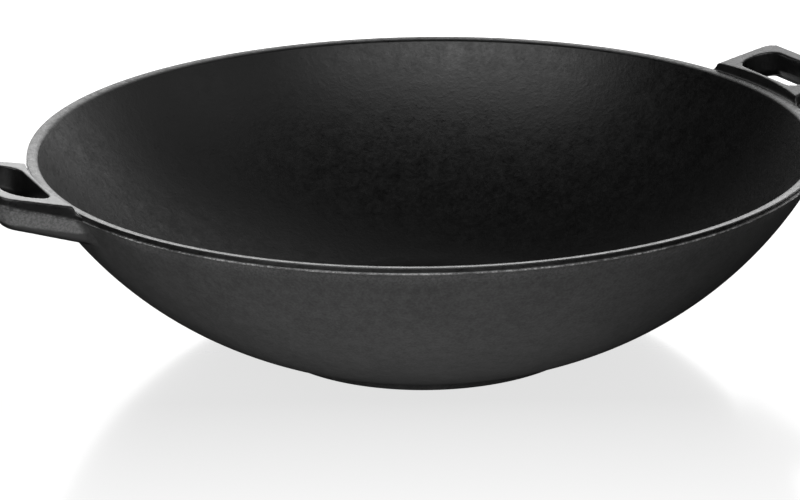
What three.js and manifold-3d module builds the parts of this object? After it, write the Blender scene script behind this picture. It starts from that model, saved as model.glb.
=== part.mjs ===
// Cast iron wok: a round-sided bowl on a flat foot, with a crowned rim lip and two raised loop handles.
// Millimetres, +Z up. The origin is the centre of the foot's underside, and the handles lie along X.

import * as THREE from 'three';
import { mergeVertices } from 'three/addons/utils/BufferGeometryUtils.js';
import Module from 'manifold-3d';

const wasm = await Module();
wasm.setup();

// Overall sizes
const RIM_RADIUS = 185;
const RIM_HEIGHT = 96.8;

// Bowl: the outer side is one arc from the top of the foot to the underside of the lip
const SIDE_ARC_RADIUS = 176.75;
const WALL = 4.7;
const FLOOR_THICKNESS = 3.4;
const FLOOR_BLEND_RADIUS = 60;

// Foot: a flat pad under the bowl's floor
const FOOT_RADIUS = 79.5;
const FOOT_HEIGHT = 3.6;
const FOOT_EDGE_ROUND = 1.2;

// Rim lip: the band above the mould's parting line, rounded more inside than outside
const LIP_HEIGHT = 2.6;
const LIP_OVERHANG = 0.5;
const LIP_OUTER_ROUND = 0.8;
const LIP_INNER_ROUND_WIDTH = 2.7;
const LIP_INNER_ROUND_DROP = 1.5;

// Handles: a closed loop whose top tilts up away from the bowl, drafted both ways from a parting line
const GAP_FROM_RIM = 4;
const GAP_WIDTH = 19.7;
const GAP_LENGTH = 52;
const GAP_INNER_CORNER_RADIUS = 6.5;
const GAP_OUTER_CORNER_RADIUS = 10;
const GRIP_BAR_WIDTH = 4.8;
const ARM_ROOT_WIDTH = 8;
const ARM_TIP_WIDTH = 4.7;
const HANDLE_CORNER_RADIUS = 8;
const HANDLE_DRAFT = 1.4;
const ROOT_FLARE = 6;
const ROOT_FLARE_RADIUS = 7;
const ROOT_DEPTH = 22;

// Handle heights where the handle leaves the rim, and how much each surface rises per millimetre outwards
const HANDLE_TOP_ABOVE_RIM = 3.25;
const HANDLE_TOP_SLOPE = 0.25;
const PARTING_SLOPE = 0.325;
const HANDLE_DEPTH = 16.3;
const HANDLE_UNDERSIDE_SLOPE = 0.38;
const UNDERSIDE_ROUND = 3;

// Casting joint between a handle and the bowl
const SEAT_CLEARANCE = 0.3;

// Facets
const TURN_SEGMENTS = 80;
const SIDE_SEGMENTS = 10;
const BLEND_SEGMENTS = 4;
const ROUND_SEGMENTS = 4;
const CORNER_SEGMENTS = 5;
const MERGE_TOLERANCE = 1e-4;

// Heights and radii that follow from the sizes above
const partingHeight = RIM_HEIGHT - LIP_HEIGHT;
const bowlTopRadius = RIM_RADIUS - LIP_OVERHANG;
const gapStart = RIM_RADIUS + GAP_FROM_RIM;
const gapEnd = gapStart + GAP_WIDTH;
const handleEnd = gapEnd + GRIP_BAR_WIDTH;
const rootHalfWidth = GAP_LENGTH / 2 + ARM_ROOT_WIDTH;
const tipHalfWidth = GAP_LENGTH / 2 + ARM_TIP_WIDTH;

const bowlIron = new THREE.MeshStandardMaterial({ color: 0x2a2a2b, roughness: 0.62, metalness: 0.35 });
const footIron = new THREE.MeshStandardMaterial({ color: 0x242425, roughness: 0.7, metalness: 0.35 });
const lipIron = new THREE.MeshStandardMaterial({ color: 0x38383a, roughness: 0.42, metalness: 0.45 });
const handleIron = new THREE.MeshStandardMaterial({ color: 0x2e2e30, roughness: 0.52, metalness: 0.4 });

// Points along a circular arc, both ends included
function arcPoints(centre, radius, startAngle, endAngle, segments) {
  const points = [];
  for (let i = 0; i <= segments; i += 1) {
    const angle = THREE.MathUtils.lerp(startAngle, endAngle, i / segments);
    points.push(new THREE.Vector2(radius, 0).rotateAround(new THREE.Vector2(), angle).add(centre));
  }
  return points;
}

// Centre of the side arc, which passes through the foot's top edge and the bowl's top edge
function sideArcCentre() {
  const low = new THREE.Vector2(FOOT_RADIUS, FOOT_HEIGHT);
  const high = new THREE.Vector2(bowlTopRadius, partingHeight);
  const chord = high.clone().sub(low);
  const rise = Math.sqrt(SIDE_ARC_RADIUS ** 2 - chord.lengthSq() / 4);
  const inward = new THREE.Vector2(-chord.y, chord.x).normalize();
  return low.add(high).multiplyScalar(0.5).addScaledVector(inward, rise);
}

const sideCentre = sideArcCentre();
const innerArcRadius = SIDE_ARC_RADIUS - WALL;

// The floor lies its thickness above the foot, or at the inner side's lowest point where that is higher
const floorHeight = Math.max(FOOT_HEIGHT + FLOOR_THICKNESS, sideCentre.y - innerArcRadius);

function angleAtHeight(radius, height) {
  return Math.asin((height - sideCentre.y) / radius);
}

function radiusAtHeight(radius, height) {
  return sideCentre.x + radius * Math.cos(angleAtHeight(radius, height));
}

// Small arc that runs the inner side into the flat floor, from the side down to the floor
function floorBlend() {
  const height = floorHeight + FLOOR_BLEND_RADIUS;
  const reach = innerArcRadius - FLOOR_BLEND_RADIUS;
  const offset = Math.sqrt(Math.max(reach ** 2 - (height - sideCentre.y) ** 2, 0));
  const centre = new THREE.Vector2(sideCentre.x + offset, height);
  const sideAngle = Math.atan2(height - sideCentre.y, offset);
  return { centre, sideAngle };
}

// A profile of (radius, height) points turned about Z, without points that repeat the one before
function turned(profile) {
  const distinct = profile.filter((point, i) => i === 0 || point.distanceTo(profile[i - 1]) > MERGE_TOLERANCE);
  const geometry = new THREE.LatheGeometry(distinct, TURN_SEGMENTS);
  return geometry.rotateX(Math.PI / 2);
}

function bowlGeometry() {
  const { centre, sideAngle } = floorBlend();
  const outerStart = angleAtHeight(SIDE_ARC_RADIUS, FOOT_HEIGHT);
  const outerEnd = angleAtHeight(SIDE_ARC_RADIUS, partingHeight);
  const innerEnd = angleAtHeight(innerArcRadius, partingHeight);
  return turned([
    new THREE.Vector2(0, FOOT_HEIGHT),
    ...arcPoints(sideCentre, SIDE_ARC_RADIUS, outerStart, outerEnd, SIDE_SEGMENTS),
    ...arcPoints(sideCentre, innerArcRadius, innerEnd, sideAngle, SIDE_SEGMENTS),
    ...arcPoints(centre, FLOOR_BLEND_RADIUS, sideAngle, -Math.PI / 2, BLEND_SEGMENTS).slice(1),
    new THREE.Vector2(0, floorHeight),
  ]);
}

function footGeometry() {
  const edgeCentre = new THREE.Vector2(FOOT_RADIUS - FOOT_EDGE_ROUND, FOOT_EDGE_ROUND);
  return turned([
    new THREE.Vector2(0, 0),
    ...arcPoints(edgeCentre, FOOT_EDGE_ROUND, -Math.PI / 2, 0, ROUND_SEGMENTS),
    new THREE.Vector2(FOOT_RADIUS, FOOT_HEIGHT),
    new THREE.Vector2(0, FOOT_HEIGHT),
  ]);
}

function lipGeometry() {
  const outerCentre = new THREE.Vector2(RIM_RADIUS - LIP_OUTER_ROUND, RIM_HEIGHT - LIP_OUTER_ROUND);
  const innerRoundBase = RIM_HEIGHT - LIP_INNER_ROUND_DROP;
  const innerRoundRadius = radiusAtHeight(innerArcRadius, innerRoundBase);
  const innerRound = new THREE.EllipseCurve(
    innerRoundRadius + LIP_INNER_ROUND_WIDTH, innerRoundBase,
    LIP_INNER_ROUND_WIDTH, LIP_INNER_ROUND_DROP, Math.PI / 2, Math.PI,
  );
  const seatInner = new THREE.Vector2(radiusAtHeight(innerArcRadius, partingHeight), partingHeight);
  return turned([
    seatInner,
    new THREE.Vector2(RIM_RADIUS, partingHeight),
    ...arcPoints(outerCentre, LIP_OUTER_ROUND, 0, Math.PI / 2, ROUND_SEGMENTS),
    ...innerRound.getPoints(ROUND_SEGMENTS),
    seatInner.clone(),
  ]);
}

function corner(x, y, radius) {
  return { at: new THREE.Vector2(x, y), radius };
}

// Traces a closed path round corners, each an arc of its own radius between straight runs
function traceRounded(path, corners) {
  corners.forEach(({ at, radius }, i) => {
    const before = corners.at(i - 1).at;
    const after = corners[(i + 1) % corners.length].at;
    const back = before.clone().sub(at).normalize();
    const ahead = after.clone().sub(at).normalize();
    const halfAngle = Math.acos(THREE.MathUtils.clamp(back.dot(ahead), -1, 1)) / 2;
    const trim = radius / Math.tan(halfAngle);
    const from = at.clone().addScaledVector(back, trim);
    const to = at.clone().addScaledVector(ahead, trim);
    const middle = back.clone().add(ahead).normalize();
    const centre = at.clone().addScaledVector(middle, radius / Math.sin(halfAngle));
    const startAngle = from.clone().sub(centre).angle();
    const endAngle = to.clone().sub(centre).angle();
    const clockwise = back.cross(ahead) > 0;
    if (i === 0) path.moveTo(from.x, from.y);
    else path.lineTo(from.x, from.y);
    if (radius > 0) path.absarc(centre.x, centre.y, radius, startAngle, endAngle, clockwise);
  });
  path.closePath();
  return path;
}

// The loop seen from above, with X away from the bowl and Y along the rim
function handleOutline() {
  const deep = RIM_RADIUS - ROOT_DEPTH;
  const flareWidth = rootHalfWidth + ROOT_FLARE;
  const flareStart = Math.sqrt(RIM_RADIUS ** 2 - flareWidth ** 2);
  const shape = traceRounded(new THREE.Shape(), [
    corner(deep, -rootHalfWidth, 0),
    corner(flareStart, -flareWidth, 0),
    corner(RIM_RADIUS, -rootHalfWidth, ROOT_FLARE_RADIUS),
    corner(handleEnd, -tipHalfWidth, HANDLE_CORNER_RADIUS),
    corner(handleEnd, tipHalfWidth, HANDLE_CORNER_RADIUS),
    corner(RIM_RADIUS, rootHalfWidth, ROOT_FLARE_RADIUS),
    corner(flareStart, flareWidth, 0),
    corner(deep, rootHalfWidth, 0),
  ]);
  const gapSide = GAP_LENGTH / 2;
  const outerRadius = Math.min(GAP_OUTER_CORNER_RADIUS, GAP_WIDTH - GAP_INNER_CORNER_RADIUS);
  shape.holes.push(traceRounded(new THREE.Path(), [
    corner(gapStart, -gapSide, GAP_INNER_CORNER_RADIUS),
    corner(gapStart, gapSide, GAP_INNER_CORNER_RADIUS),
    corner(gapEnd, gapSide, outerRadius),
    corner(gapEnd, -gapSide, outerRadius),
  ]));
  return shape;
}

// Heights of the handle's four levels at a distance from the axis: underside, round, parting line, top
function handleLevels(distance) {
  const out = distance - RIM_RADIUS;
  const top = RIM_HEIGHT + HANDLE_TOP_ABOVE_RIM + HANDLE_TOP_SLOPE * out;
  const underside = RIM_HEIGHT + HANDLE_TOP_ABOVE_RIM - HANDLE_DEPTH + HANDLE_UNDERSIDE_SLOPE * out;
  const parting = partingHeight + PARTING_SLOPE * out;
  return [underside, underside + UNDERSIDE_ROUND, parting, top];
}

// The outline raised as four unit-spaced levels, wider at the middle two, then set to the real heights
function handleBlank() {
  const geometry = new THREE.ExtrudeGeometry(handleOutline(), {
    depth: 1,
    steps: 1,
    bevelEnabled: true,
    bevelThickness: 1,
    bevelSize: HANDLE_DRAFT,
    bevelSegments: 1,
    curveSegments: CORNER_SEGMENTS,
  });
  const position = geometry.getAttribute('position');
  for (let i = 0; i < position.count; i += 1) {
    const level = Math.round(position.getZ(i)) + 1;
    position.setZ(i, handleLevels(position.getX(i))[level]);
  }
  return geometry;
}

// Everything inside the bowl's outer side and the lip, grown by the clearance
function handleSeatGeometry() {
  const low = partingHeight - HANDLE_DEPTH - ROOT_DEPTH;
  const high = handleLevels(handleEnd)[3] + HANDLE_DEPTH;
  const grown = SIDE_ARC_RADIUS + SEAT_CLEARANCE;
  const seatRadius = RIM_RADIUS + SEAT_CLEARANCE;
  const start = angleAtHeight(grown, low);
  const end = angleAtHeight(grown, partingHeight - SEAT_CLEARANCE);
  return turned([
    new THREE.Vector2(0, low),
    ...arcPoints(sideCentre, grown, start, end, SIDE_SEGMENTS),
    new THREE.Vector2(seatRadius, partingHeight - SEAT_CLEARANCE),
    new THREE.Vector2(seatRadius, high),
    new THREE.Vector2(0, high),
  ]);
}

// A closed geometry as a solid that can be cut
function solidOf(geometry) {
  const bare = geometry.clone();
  bare.deleteAttribute('normal');
  bare.deleteAttribute('uv');
  const merged = mergeVertices(bare, MERGE_TOLERANCE);
  const index = merged.index.array;
  const kept = [];
  for (let i = 0; i < index.length; i += 3) {
    const [a, b, c] = index.slice(i, i + 3);
    if (a !== b && b !== c && c !== a) kept.push(a, b, c);
  }
  return new wasm.Manifold(new wasm.Mesh({
    numProp: 3,
    vertProperties: new Float32Array(merged.getAttribute('position').array),
    triVerts: new Uint32Array(kept),
  }));
}

function geometryOf(solid) {
  const mesh = solid.getMesh();
  const geometry = new THREE.BufferGeometry();
  geometry.setAttribute('position', new THREE.BufferAttribute(mesh.vertProperties, 3));
  geometry.setIndex(new THREE.BufferAttribute(mesh.triVerts, 1));
  geometry.computeVertexNormals();
  return geometry;
}

function handleGeometry() {
  return geometryOf(solidOf(handleBlank()).subtract(solidOf(handleSeatGeometry())));
}

function named(name, geometry, material) {
  const mesh = new THREE.Mesh(geometry, material);
  mesh.name = name;
  return mesh;
}

const wok = new THREE.Group();
wok.add(named('bowl', bowlGeometry(), bowlIron));
wok.add(named('foot_pad', footGeometry(), footIron));
wok.add(named('rim_lip', lipGeometry(), lipIron));

const rightHandle = named('right_handle', handleGeometry(), handleIron);
const leftHandle = named('left_handle', handleGeometry(), handleIron.clone());
leftHandle.rotation.z = Math.PI;
wok.add(rightHandle, leftHandle);

export default wok;
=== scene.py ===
"""Cast iron wok: sand-cast bowl, foot, rim lip and two loop handles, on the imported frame."""

import logging
import math
from dataclasses import dataclass
from enum import Enum
from typing import Any, Iterable, Sequence

import bmesh
import bpy
import numpy as np
from mathutils import Matrix, Quaternion, Vector, noise


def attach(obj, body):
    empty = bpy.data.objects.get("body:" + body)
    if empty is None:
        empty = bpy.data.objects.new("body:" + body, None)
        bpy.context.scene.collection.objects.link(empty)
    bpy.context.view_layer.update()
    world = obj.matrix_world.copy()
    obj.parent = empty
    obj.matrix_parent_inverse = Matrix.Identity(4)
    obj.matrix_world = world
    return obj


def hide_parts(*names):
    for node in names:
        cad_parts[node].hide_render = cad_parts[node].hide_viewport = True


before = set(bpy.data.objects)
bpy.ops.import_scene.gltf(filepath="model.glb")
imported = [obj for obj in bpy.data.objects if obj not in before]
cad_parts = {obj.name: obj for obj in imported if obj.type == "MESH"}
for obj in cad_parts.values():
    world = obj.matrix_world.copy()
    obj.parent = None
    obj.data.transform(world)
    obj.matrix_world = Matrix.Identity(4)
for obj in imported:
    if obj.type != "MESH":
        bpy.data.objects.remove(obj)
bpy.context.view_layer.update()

LOG = logging.getLogger("wok")
BODY = "root"
MM = 0.001
TURN = 2 * math.pi
MERGE_DISTANCE = 1e-6

Point = tuple[float, float]
Range = tuple[float, float]


class Slot(Enum):
    """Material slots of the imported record."""

    BOWL = "bowl_iron"
    FOOT = "foot_iron"
    LIP = "lip_iron"
    HANDLE = "handle_iron"


class Side(Enum):
    """Which handle, with its turn about the wok's axis."""

    RIGHT = 0.0
    LEFT = math.pi


class Surface(Enum):
    """Sloping surfaces that a handle's levels are measured from."""

    TOP = "top"
    PARTING = "parting"
    UNDER = "under"


# Modelling helpers


class Editing:
    """Edit mode on one piece with all of it selected, for the length of a with block."""

    def __init__(self, piece: bpy.types.Object) -> None:
        """Remember the piece.

        Args:
            piece: mesh object to edit.
        """
        self.piece = piece

    def __enter__(self) -> None:
        """Enter edit mode and select everything."""
        only(self.piece)
        bpy.ops.object.mode_set(mode="EDIT")
        bpy.ops.mesh.select_all(action="SELECT")

    def __exit__(self, *_: object) -> None:
        """Leave edit mode."""
        bpy.ops.object.mode_set(mode="OBJECT")


def only(piece: bpy.types.Object) -> None:
    """Make a piece the one selected and active object.

    Args:
        piece: object to select.
    """
    bpy.ops.object.select_all(action="DESELECT")
    piece.select_set(True)
    bpy.context.view_layer.objects.active = piece


def single_point(name: str) -> bpy.types.Object:
    """Start a piece from a plane merged to one point at the origin.

    Args:
        name: name of the new object.

    Returns:
        The new object, with one selected vertex.
    """
    bpy.ops.object.select_all(action="DESELECT")
    bpy.ops.mesh.primitive_plane_add(size=MM)
    piece = bpy.context.active_object
    piece.name = piece.data.name = name
    with Editing(piece):
        bpy.ops.mesh.merge(type="CENTER")
    return piece


def draw_section(name: str, section: Sequence[Point], closed: bool = False) -> bpy.types.Object:
    """Draw a section in the XZ plane by extruding one point along it.

    Args:
        name: name of the new object.
        section: radius and height of each point, in millimetres.
        closed: whether the last point joins the first.

    Returns:
        The new object, an edge chain with everything selected.
    """
    piece = single_point(name)
    places = [Vector((radius * MM, 0, height * MM)) for radius, height in section]
    with Editing(piece):
        bpy.ops.transform.translate(value=places[0])
        for here, there in zip(places, places[1:]):
            bpy.ops.mesh.extrude_region_move(TRANSFORM_OT_translate={"value": there - here})
        bpy.ops.mesh.select_all(action="SELECT")
        if closed:
            bpy.ops.mesh.edge_face_add()
    return piece


def spin_section(piece: bpy.types.Object, steps: int) -> None:
    """Spin a drawn section about the wok's axis and close its seam and poles.

    Args:
        piece: object that holds the section.
        steps: number of steps round the spin.
    """
    with Editing(piece):
        bpy.ops.mesh.spin(steps=steps, angle=TURN, center=(0, 0, 0), axis=(0, 0, 1))
        bpy.ops.mesh.select_all(action="SELECT")
        bpy.ops.mesh.remove_doubles(threshold=MERGE_DISTANCE)
        bpy.ops.mesh.normals_make_consistent(inside=False)


def apply_modifier(piece: bpy.types.Object, kind: str, **settings: Any) -> None:
    """Add one modifier, set it and apply it.

    Args:
        piece: object to change.
        kind: modifier type.
        settings: the modifier's settings by name.
    """
    only(piece)
    modifier = piece.modifiers.new(kind.lower(), kind)
    for name, value in settings.items():
        setattr(modifier, name, value)
    bpy.ops.object.modifier_apply(modifier=modifier.name)


def shade(piece: bpy.types.Object, degrees: float) -> None:
    """Shade a piece smooth, with edges sharper than an angle kept crisp.

    Args:
        piece: object to shade.
        degrees: the angle, in degrees.
    """
    only(piece)
    bpy.ops.object.shade_smooth_by_angle(angle=math.radians(degrees))


def points_of(piece: bpy.types.Object) -> np.ndarray:
    """Vertex places of a piece.

    Args:
        piece: mesh object.

    Returns:
        An array of X, Y and Z in millimetres.
    """
    flat = np.zeros(len(piece.data.vertices) * 3, np.float32)
    piece.data.vertices.foreach_get("co", flat)
    return flat.reshape(-1, 3).astype(float) / MM


def move_points(piece: bpy.types.Object, points: np.ndarray) -> None:
    """Set the vertex places of a piece.

    Args:
        piece: mesh object.
        points: X, Y and Z of each vertex, in millimetres.
    """
    piece.data.vertices.foreach_set("co", (points * MM).astype(np.float32).ravel())
    piece.data.update()


def normals_of(piece: bpy.types.Object) -> np.ndarray:
    """Vertex normals of a piece.

    Args:
        piece: mesh object.

    Returns:
        An array of X, Y and Z.
    """
    flat = np.zeros(len(piece.data.vertices) * 3, np.float32)
    piece.data.vertices.foreach_get("normal", flat)
    return flat.reshape(-1, 3).astype(float)


def paint(piece: bpy.types.Object, name: str, weights: np.ndarray) -> None:
    """Store one number per vertex as an attribute that a finish reads.

    Args:
        piece: mesh object.
        name: attribute name.
        weights: the numbers, 0 to 1.
    """
    layer = piece.data.attributes.new(name, "FLOAT", "POINT")
    layer.data.foreach_set("value", weights.astype(np.float32))


def share_between(numbers: np.ndarray, low: float, high: float) -> np.ndarray:
    """How far numbers are from one limit to another, kept within 0 to 1.

    Args:
        numbers: the numbers.
        low: limit that gives 0.
        high: limit that gives 1.

    Returns:
        The shares.
    """
    return np.clip((numbers - low) / (high - low), 0, 1)


def smooth_step(numbers: np.ndarray, low: float, high: float) -> np.ndarray:
    """Numbers mapped from a range to 0 to 1 with soft ends.

    Args:
        numbers: the numbers.
        low: where 0 ends.
        high: where 1 starts.

    Returns:
        The mapped numbers.
    """
    t = share_between(numbers, low, high)
    return t * t * (3 - 2 * t)


def bumps(points: np.ndarray, size: float) -> np.ndarray:
    """Smooth noise at some points.

    Args:
        points: places in millimetres.
        size: size of one bump, in millimetres.

    Returns:
        One number per point, about -1 to 1.
    """
    return np.array([noise.noise(Vector(p / size)) for p in points])


@dataclass(frozen=True)
class Ragged:
    """A number that varies unevenly over a surface.

    Attributes:
        level: its mean.
        swing: how far it strays from the mean.
        size: size of one bump, in millimetres.
    """

    level: float
    swing: float
    size: float

    def at(self, points: np.ndarray) -> np.ndarray:
        """The number at each of some points, in millimetres."""
        return self.level + self.swing * bumps(points, self.size)


def arc(centre: Point, radius: float, start: float, end: float, steps: int) -> list[Point]:
    """Points on a circular arc, both ends included.

    Args:
        centre: the arc's centre.
        radius: the arc's radius.
        start: first angle, in radians.
        end: last angle, in radians.
        steps: number of chords.

    Returns:
        The points in order.
    """
    angles = np.linspace(start, end, steps + 1)
    return [(centre[0] + radius * math.cos(a), centre[1] + radius * math.sin(a)) for a in angles]


# Shader graphs


@dataclass(frozen=True)
class Value:
    """A number socket that takes part in Python expressions."""

    graph: "Graph"
    socket: bpy.types.NodeSocket

    def __add__(self, other: "Value | float") -> "Value":
        """Sum."""
        return self.graph.maths("ADD", self, other)

    __radd__ = __add__

    def __mul__(self, other: "Value | float") -> "Value":
        """Product."""
        return self.graph.maths("MULTIPLY", self, other)

    __rmul__ = __mul__

    def __sub__(self, other: "Value | float") -> "Value":
        """Difference."""
        return self.graph.maths("SUBTRACT", self, other)

    def __rsub__(self, other: float) -> "Value":
        """Difference from a number."""
        return self.graph.maths("SUBTRACT", other, self)

    def __pow__(self, other: "Value | float") -> "Value":
        """Power."""
        return self.graph.maths("POWER", self, other)

    def clamped(self, low: float = 0.0, high: float = 1.0) -> "Value":
        """The number kept between two limits."""
        node = self.graph.node("ShaderNodeClamp", {}, {"Value": self, "Min": low, "Max": high})
        return Value(self.graph, node.outputs[0])

    def ramp(self, low: float, high: float) -> "Value":
        """The number mapped from a range to 0 to 1 with soft ends."""
        node = self.graph.node(
            "ShaderNodeMapRange",
            {"interpolation_type": "SMOOTHSTEP"},
            {"Value": self, "From Min": low, "From Max": high},
        )
        return Value(self.graph, node.outputs[0])


class Graph:
    """Node tree of a material or world, filled through one method."""

    def __init__(self, tree: bpy.types.NodeTree) -> None:
        """Empty the tree.

        Args:
            tree: node tree to fill.
        """
        self.tree = tree
        tree.nodes.clear()

    def node(
        self, kind: str, settings: dict[str, Any], inputs: dict[str | int, Any]
    ) -> bpy.types.Node:
        """Add one node.

        Args:
            kind: the node's type name.
            settings: the node's own properties, set first.
            inputs: values or links of its sockets, by name or number.

        Returns:
            The new node.
        """
        made = self.tree.nodes.new(kind)
        for name, value in settings.items():
            setattr(made, name, value)
        for key, value in inputs.items():
            socket = made.inputs[key]
            if isinstance(value, Value):
                self.tree.links.new(value.socket, socket)
            elif isinstance(value, bpy.types.NodeSocket):
                self.tree.links.new(value, socket)
            else:
                socket.default_value = value
        return made

    def maths(self, operation: str, first: Value | float, second: Value | float) -> Value:
        """Add a Math node.

        Args:
            operation: the Math node's operation.
            first: first number.
            second: second number.

        Returns:
            The result.
        """
        made = self.node("ShaderNodeMath", {"operation": operation}, {0: first, 1: second})
        return Value(self, made.outputs[0])

    def place(self) -> bpy.types.NodeSocket:
        """Object coordinates, in metres."""
        return self.node("ShaderNodeTexCoord", {}, {}).outputs["Object"]

    def cloud(
        self,
        scale: float,
        detail: float = 2.0,
        rough: float = 0.5,
        warp: float = 0.0,
        flat: float = 1.0,
    ) -> Value:
        """Noise on Object coordinates.

        Args:
            scale: bumps per metre.
            detail: octaves.
            rough: strength of the finer octaves.
            warp: distortion.
            flat: how many times flatter than wide the bumps are.

        Returns:
            The noise, about 0 to 1.
        """
        squeezed = self.node(
            "ShaderNodeVectorMath",
            {"operation": "MULTIPLY"},
            {0: self.place(), 1: (1.0, 1.0, flat)},
        )
        made = self.node(
            "ShaderNodeTexNoise",
            {},
            {
                "Vector": squeezed.outputs[0],
                "Scale": scale,
                "Detail": detail,
                "Roughness": rough,
                "Distortion": warp,
            },
        )
        return Value(self, made.outputs[0])

    def cells(self, scale: float) -> Value:
        """Distance to the nearest of scattered points, on Object coordinates.

        Args:
            scale: points per metre.

        Returns:
            The distance, about 0 to 1.
        """
        made = self.node("ShaderNodeTexVoronoi", {}, {"Vector": self.place(), "Scale": scale})
        return Value(self, made.outputs["Distance"])

    def along(self, vector: bpy.types.NodeSocket, direction: Vector) -> Value:
        """A vector's length along a direction.

        Args:
            vector: socket of the vector.
            direction: a unit vector.

        Returns:
            The length.
        """
        made = self.node(
            "ShaderNodeVectorMath", {"operation": "DOT_PRODUCT"}, {0: vector, 1: direction}
        )
        return Value(self, made.outputs["Value"])

    def length(self, vector: bpy.types.NodeSocket) -> Value:
        """A vector's length."""
        made = self.node("ShaderNodeVectorMath", {"operation": "LENGTH"}, {0: vector})
        return Value(self, made.outputs["Value"])

    def painted(self, name: str) -> Value:
        """A number stored on the mesh.

        Args:
            name: attribute name.

        Returns:
            The number.
        """
        made = self.node("ShaderNodeAttribute", {"attribute_name": name}, {})
        return Value(self, made.outputs["Fac"])

    def mix(self, factor: Value | float, first: Any, second: Any) -> bpy.types.NodeSocket:
        """Mix two colours.

        Args:
            factor: share of the second colour.
            first: colour or socket at 0.
            second: colour or socket at 1.

        Returns:
            The mixed colour's socket.
        """
        made = self.node("ShaderNodeMix", {"data_type": "RGBA"}, {0: factor, 6: first, 7: second})
        return made.outputs[2]

    def blend(self, factor: Any, first: Any, second: Any) -> bpy.types.NodeSocket:
        """Mix two shaders.

        Args:
            factor: share of the second shader.
            first: socket of the shader at 0.
            second: socket of the shader at 1.

        Returns:
            The mixed shader's socket.
        """
        made = self.node("ShaderNodeMixShader", {}, {0: factor, 1: first, 2: second})
        return made.outputs[0]


def grey(level: float) -> tuple[float, float, float, float]:
    """A neutral colour of some linear brightness, with its alpha."""
    return (level, level, level, 1.0)


# Finishes


@dataclass(frozen=True)
class WearAndHighlight:
    """Bare or dusty metal where a mesh attribute says so, and the painted highlight on the
    handle's tops.

    Attributes:
        attribute: name of the mesh attribute.
        level: linear brightness that the layer paints.
        flecks: share of the layer that is broken up into flecks.
    """

    attribute: str
    level: float
    flecks: float


@dataclass(frozen=True)
class IronFinish:
    """Blackened cast iron with sand grain, mottling, pits, worn places and painted highlights."""

    name: str
    dark: float
    light: float
    roughness: float
    roughness_swing: float
    specular: float
    grain_per_metre: float
    grain_depth: float
    mottle_per_metre: float
    mottle_depth: float
    ior: float = 1.5
    grain_flat: float = 1.0
    grain_range: Range = (0.3, 0.7)
    drift_scale: float = 0.18
    drift_share: float = 0.3
    patch_range: Range = (0.32, 0.68)
    pit_per_metre: float = 0.0
    pit_depth: float = 0.0
    pit_range: Range = (0.05, 0.35)
    fleck_per_metre: float = 900.0
    fleck_range: Range = (0.4, 0.62)
    roughness_range: Range = (0.15, 0.95)
    wear_and_highlights: tuple[WearAndHighlight, ...] = ()

    def shader(self, graph: Graph) -> bpy.types.NodeSocket:
        """Build the finish's shader.

        Args:
            graph: graph of the material.

        Returns:
            The shader's socket.
        """
        grain = graph.cloud(self.grain_per_metre, detail=3.0, rough=0.6, flat=self.grain_flat)
        mottle = graph.cloud(self.mottle_per_metre, detail=4.0, rough=0.6, warp=0.4)
        drift = graph.cloud(self.mottle_per_metre * self.drift_scale, detail=2.0)
        patch = mottle * (1 - self.drift_share) + drift * self.drift_share
        tone = (patch.ramp(*self.patch_range) + grain.ramp(*self.grain_range)) * 0.5
        colour = graph.mix(tone, grey(self.dark), grey(self.light))
        rough = self.roughness + (mottle + grain - 1.0) * self.roughness_swing
        height = grain * self.grain_depth + mottle * self.mottle_depth
        if self.pit_depth:
            pits = 1 - graph.cells(self.pit_per_metre).ramp(*self.pit_range)
            height = height - pits * self.pit_depth
        # Each layer paints worn or dusty metal, except the handle's "top" layer, which paints a
        # highlight.
        for wear_and_highlight in self.wear_and_highlights:
            flecks = graph.cloud(self.fleck_per_metre, detail=3.0, rough=0.7)
            broken = 1 - wear_and_highlight.flecks + flecks.ramp(*self.fleck_range) * wear_and_highlight.flecks
            share = graph.painted(wear_and_highlight.attribute) * broken
            colour = graph.mix(share, colour, grey(wear_and_highlight.level))
        bump = graph.node(
            "ShaderNodeBump", {}, {"Strength": 1.0, "Distance": 1.0, "Height": height * MM}
        )
        made = graph.node(
            "ShaderNodeBsdfPrincipled",
            {},
            {
                "Base Color": colour,
                "Roughness": rough.clamped(*self.roughness_range),
                "IOR": self.ior,
                "Specular IOR Level": self.specular,
                "Normal": bump.outputs[0],
            },
        )
        return made.outputs[0]

    def material(self, other: "IronFinish | None" = None, share: str = "") -> bpy.types.Material:
        """Build the finish as a node material.

        Args:
            other: finish that this one runs into, if any.
            share: mesh attribute that gives the other finish's share.

        Returns:
            The material.
        """
        made = bpy.data.materials.new(self.name)
        made.use_nodes = True
        graph = Graph(made.node_tree)
        surface = self.shader(graph)
        if other:
            surface = graph.blend(graph.painted(share).clamped(), surface, other.shader(graph))
        graph.node("ShaderNodeOutputMaterial", {}, {"Surface": surface})
        return made


INSIDE = IronFinish(
    name="seasoned_inside",
    dark=0.0033,
    light=0.006,
    roughness=0.38,
    roughness_swing=0.34,
    specular=0.4,
    grain_per_metre=470.0,
    grain_depth=0.11,
    grain_flat=1.3,
    mottle_per_metre=150.0,
    mottle_depth=0.15,
)
OUTSIDE = IronFinish(
    name="sand_cast_outside",
    dark=0.039,
    light=0.072,
    roughness=0.62,
    roughness_swing=0.1,
    specular=0.06,
    grain_per_metre=900.0,
    grain_depth=0.1,
    mottle_per_metre=230.0,
    mottle_depth=0.08,
    pit_per_metre=260.0,
    pit_depth=0.03,
    wear_and_highlights=(WearAndHighlight("dust", 0.13, 0.7),),
)
LIP = IronFinish(
    name="smoothed_lip",
    dark=0.005,
    light=0.012,
    roughness=0.34,
    roughness_swing=0.3,
    ior=1.65,
    specular=0.5,
    grain_per_metre=1100.0,
    grain_depth=0.08,
    mottle_per_metre=260.0,
    mottle_depth=0.2,
    wear_and_highlights=(WearAndHighlight("flash", 0.62, 0.8),),
)
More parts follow.
